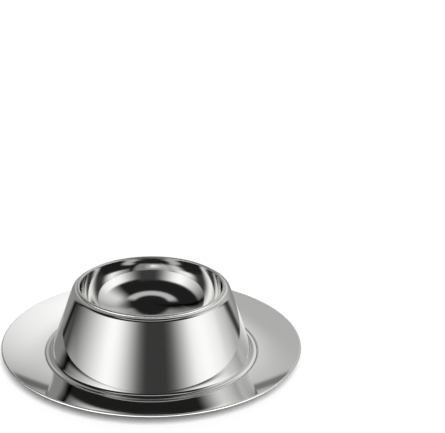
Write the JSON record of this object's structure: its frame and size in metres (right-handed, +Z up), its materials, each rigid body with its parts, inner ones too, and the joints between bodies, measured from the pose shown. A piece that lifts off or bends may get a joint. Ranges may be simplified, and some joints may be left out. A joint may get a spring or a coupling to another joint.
{
  "type": "egg cup with saucer",
  "caption": "Polished steel egg cup: a low cup with leaning, slightly bulging sides, a drawn bowl, a beaded rim and a flared foot, fixed on a shallow dished saucer.",
  "frame": {"origin": "middle of the saucer's flat resting face, on the table", "axes": "+Z up along the axis that the whole cup is turned about; X and Y lie in the table's plane"},
  "size_m": [0.09, 0.09, 0.0234],
  "materials": {
    "saucer_steel": "mirror polished stainless steel",
    "wall_steel": "mirror polished stainless steel",
    "bowl_steel": "mirror polished stainless steel"
  },
  "bodies": {
    "root": {"saucer": "saucer_steel", "cup_wall": "wall_steel", "egg_bowl": "bowl_steel"}
  },
  "joints": []
}
